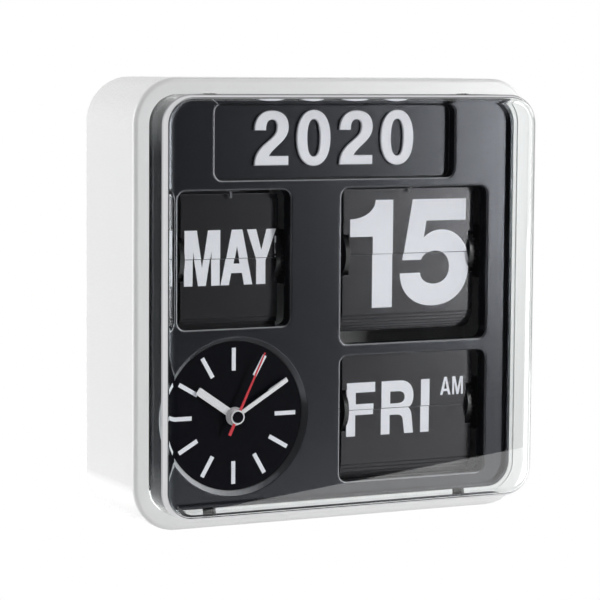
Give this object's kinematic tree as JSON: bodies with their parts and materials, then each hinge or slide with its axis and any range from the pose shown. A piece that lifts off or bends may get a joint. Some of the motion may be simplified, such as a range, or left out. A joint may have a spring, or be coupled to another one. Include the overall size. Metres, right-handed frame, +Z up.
{
  "type": "flip wall clock",
  "caption": "Square flip wall clock: white rounded case, clear box cover, dark face with flip leaves for month, date and weekday, a year plate and a small round dial with hands.",
  "frame": {"origin": "centre of the flat back, in the plane of the wall", "axes": "+X to the right seen from the front, +Y into the wall, +Z up; the face looks along -Y"},
  "size_m": [0.21, 0.0802, 0.21],
  "materials": {
    "white_case": "white moulded, satin gloss",
    "clear_acrylic": "clear, polished",
    "faceplate_plastic": "charcoal moulded, fine satin",
    "dial_black": "black, satin",
    "print_white": "white print",
    "hand_white": "light grey paint",
    "hand_red": "red paint",
    "black_plastic": "black moulded",
    "grey_plastic": "grey moulded",
    "gear_plastic": "dark moulded",
    "leaf_film": "dark grey sheet, satin",
    "bracket_sheet": "black painted sheet",
    "brass": "turned",
    "steel": "plain",
    "circuit_board": "green solder mask",
    "cell_jacket": "plain wrapper"
  },
  "bodies": {
    "root": {"case": "white_case", "rear_cover": "white_case", "clear_cover": "clear_acrylic", "faceplate": "faceplate_plastic", "year_plate": "faceplate_plastic", "dial": "dial_black", "hour_markers": "print_white", "movement": "black_plastic", "control_board": "circuit_board", "battery_cells": "cell_jacket", "battery_contacts": "steel", "rear_screws": "steel", "module_screws": "steel", "faceplate_screws": "steel", "month_bracket": "bracket_sheet", "month_axle": "steel", "month_leaf_pack": "leaf_film", "month_stop_finger": "steel", "month_motor": "steel", "date_bracket": "bracket_sheet", "date_axle": "steel", "date_leaf_pack": "leaf_film", "date_stop_finger": "steel", "date_motor": "steel", "weekday_bracket": "bracket_sheet", "weekday_axle": "steel", "weekday_leaf_pack": "leaf_film", "weekday_stop_finger": "steel", "weekday_motor": "steel"},
    "hour": {"hour_hand": "hand_white", "hour_tube": "brass"},
    "minute": {"minute_hand": "hand_white", "minute_arbor": "brass"},
    "second": {"second_hand": "hand_red", "second_arbor": "steel", "second_cap": "black_plastic"},
    "knob": {"time_set_knob": "black_plastic"},
    "door": {"battery_door": "white_case"},
    "month_drum": {"month_drum": "black_plastic", "month_gear": "gear_plastic"},
    "month_pinion": {"month_pinion": "brass"},
    "month_leaf": {"month_falling_leaf": "leaf_film"},
    "month_button": {"month_button": "grey_plastic"},
    "date_drum": {"date_drum": "black_plastic", "date_gear": "gear_plastic"},
    "date_pinion": {"date_pinion": "brass"},
    "date_leaf": {"date_falling_leaf": "leaf_film"},
    "date_button": {"date_button": "grey_plastic"},
    "weekday_drum": {"weekday_drum": "black_plastic", "weekday_gear": "gear_plastic"},
    "weekday_pinion": {"weekday_pinion": "brass"},
    "weekday_leaf": {"weekday_falling_leaf": "leaf_film"},
    "weekday_button": {"weekday_button": "grey_plastic"}
  },
  "joints": [
    {"name": "minute_spin", "type": "hinge", "parent": "root", "child": "minute", "pos_m": [-0.0526, -0.055, -0.0535], "axis": [0, 1, 0], "continuous": true},
    {"name": "hour_spin", "type": "hinge", "parent": "root", "child": "hour", "pos_m": [-0.0526, -0.055, -0.0535], "axis": [0, 1, 0], "continuous": true},
    {"name": "second_spin", "type": "hinge", "parent": "root", "child": "second", "pos_m": [-0.0526, -0.055, -0.0535], "axis": [0, 1, 0], "continuous": true},
    {"name": "knob_spin", "type": "hinge", "parent": "root", "child": "knob", "pos_m": [-0.0366, -0.005, -0.0465], "axis": [0, 1, 0], "continuous": true},
    {"name": "month_drum_spin", "type": "hinge", "parent": "root", "child": "month_drum", "pos_m": [-0.0525, -0.0395, 0.0203], "axis": [1, 0, 0], "continuous": true},
    {"name": "month_pinion_spin", "type": "hinge", "parent": "root", "child": "month_pinion", "pos_m": [-0.0525, -0.0259, 0.0203], "axis": [1, 0, 0], "continuous": true},
    {"name": "month_leaf_fall", "type": "hinge", "parent": "root", "child": "month_leaf", "pos_m": [-0.0525, -0.0494, 0.02154], "axis": [1, 0, 0], "range_deg": [0, 180]},
    {"name": "month_button_press", "type": "slide", "parent": "root", "child": "month_button", "axis": [0, -1, 0], "range_m": [0, 0.0008], "stiffness_N_per_m": 400},
    {"name": "date_drum_spin", "type": "hinge", "parent": "root", "child": "date_drum", "pos_m": [0.0435, -0.0395, 0.0203], "axis": [1, 0, 0], "continuous": true},
    {"name": "date_pinion_spin", "type": "hinge", "parent": "root", "child": "date_pinion", "pos_m": [0.0435, -0.0259, 0.0203], "axis": [1, 0, 0], "continuous": true},
    {"name": "date_leaf_fall", "type": "hinge", "parent": "root", "child": "date_leaf", "pos_m": [0.0435, -0.0494, 0.02126], "axis": [1, 0, 0], "range_deg": [0, 180]},
    {"name": "date_button_press", "type": "slide", "parent": "root", "child": "date_button", "axis": [0, -1, 0], "range_m": [0, 0.0008], "stiffness_N_per_m": 400},
    {"name": "weekday_drum_spin", "type": "hinge", "parent": "root", "child": "weekday_drum", "pos_m": [0.0435, -0.0395, -0.0552], "axis": [1, 0, 0], "continuous": true},
    {"name": "weekday_pinion_spin", "type": "hinge", "parent": "root", "child": "weekday_pinion", "pos_m": [0.0435, -0.0259, -0.0552], "axis": [1, 0, 0], "continuous": true},
    {"name": "weekday_leaf_fall", "type": "hinge", "parent": "root", "child": "weekday_leaf", "pos_m": [0.0435, -0.0494, -0.05414], "axis": [1, 0, 0], "range_deg": [0, 180]},
    {"name": "weekday_button_press", "type": "slide", "parent": "root", "child": "weekday_button", "axis": [0, -1, 0], "range_m": [0, 0.0008], "stiffness_N_per_m": 400},
    {"name": "battery_door_swing", "type": "hinge", "parent": "root", "child": "door", "pos_m": [-0.053, -0.0014, -0.0671], "axis": [1, 0, 0], "range_deg": [0, 95]}
  ],
  "couplings": [
    {"joint": "hour_spin", "follows": "minute_spin", "ratio": 0.083333},
    {"joint": "knob_spin", "follows": "minute_spin", "ratio": -1},
    {"joint": "month_pinion_spin", "follows": "month_drum_spin", "ratio": -2.4},
    {"joint": "date_pinion_spin", "follows": "date_drum_spin", "ratio": -2.4},
    {"joint": "weekday_pinion_spin", "follows": "weekday_drum_spin", "ratio": -2.4}
  ]
}
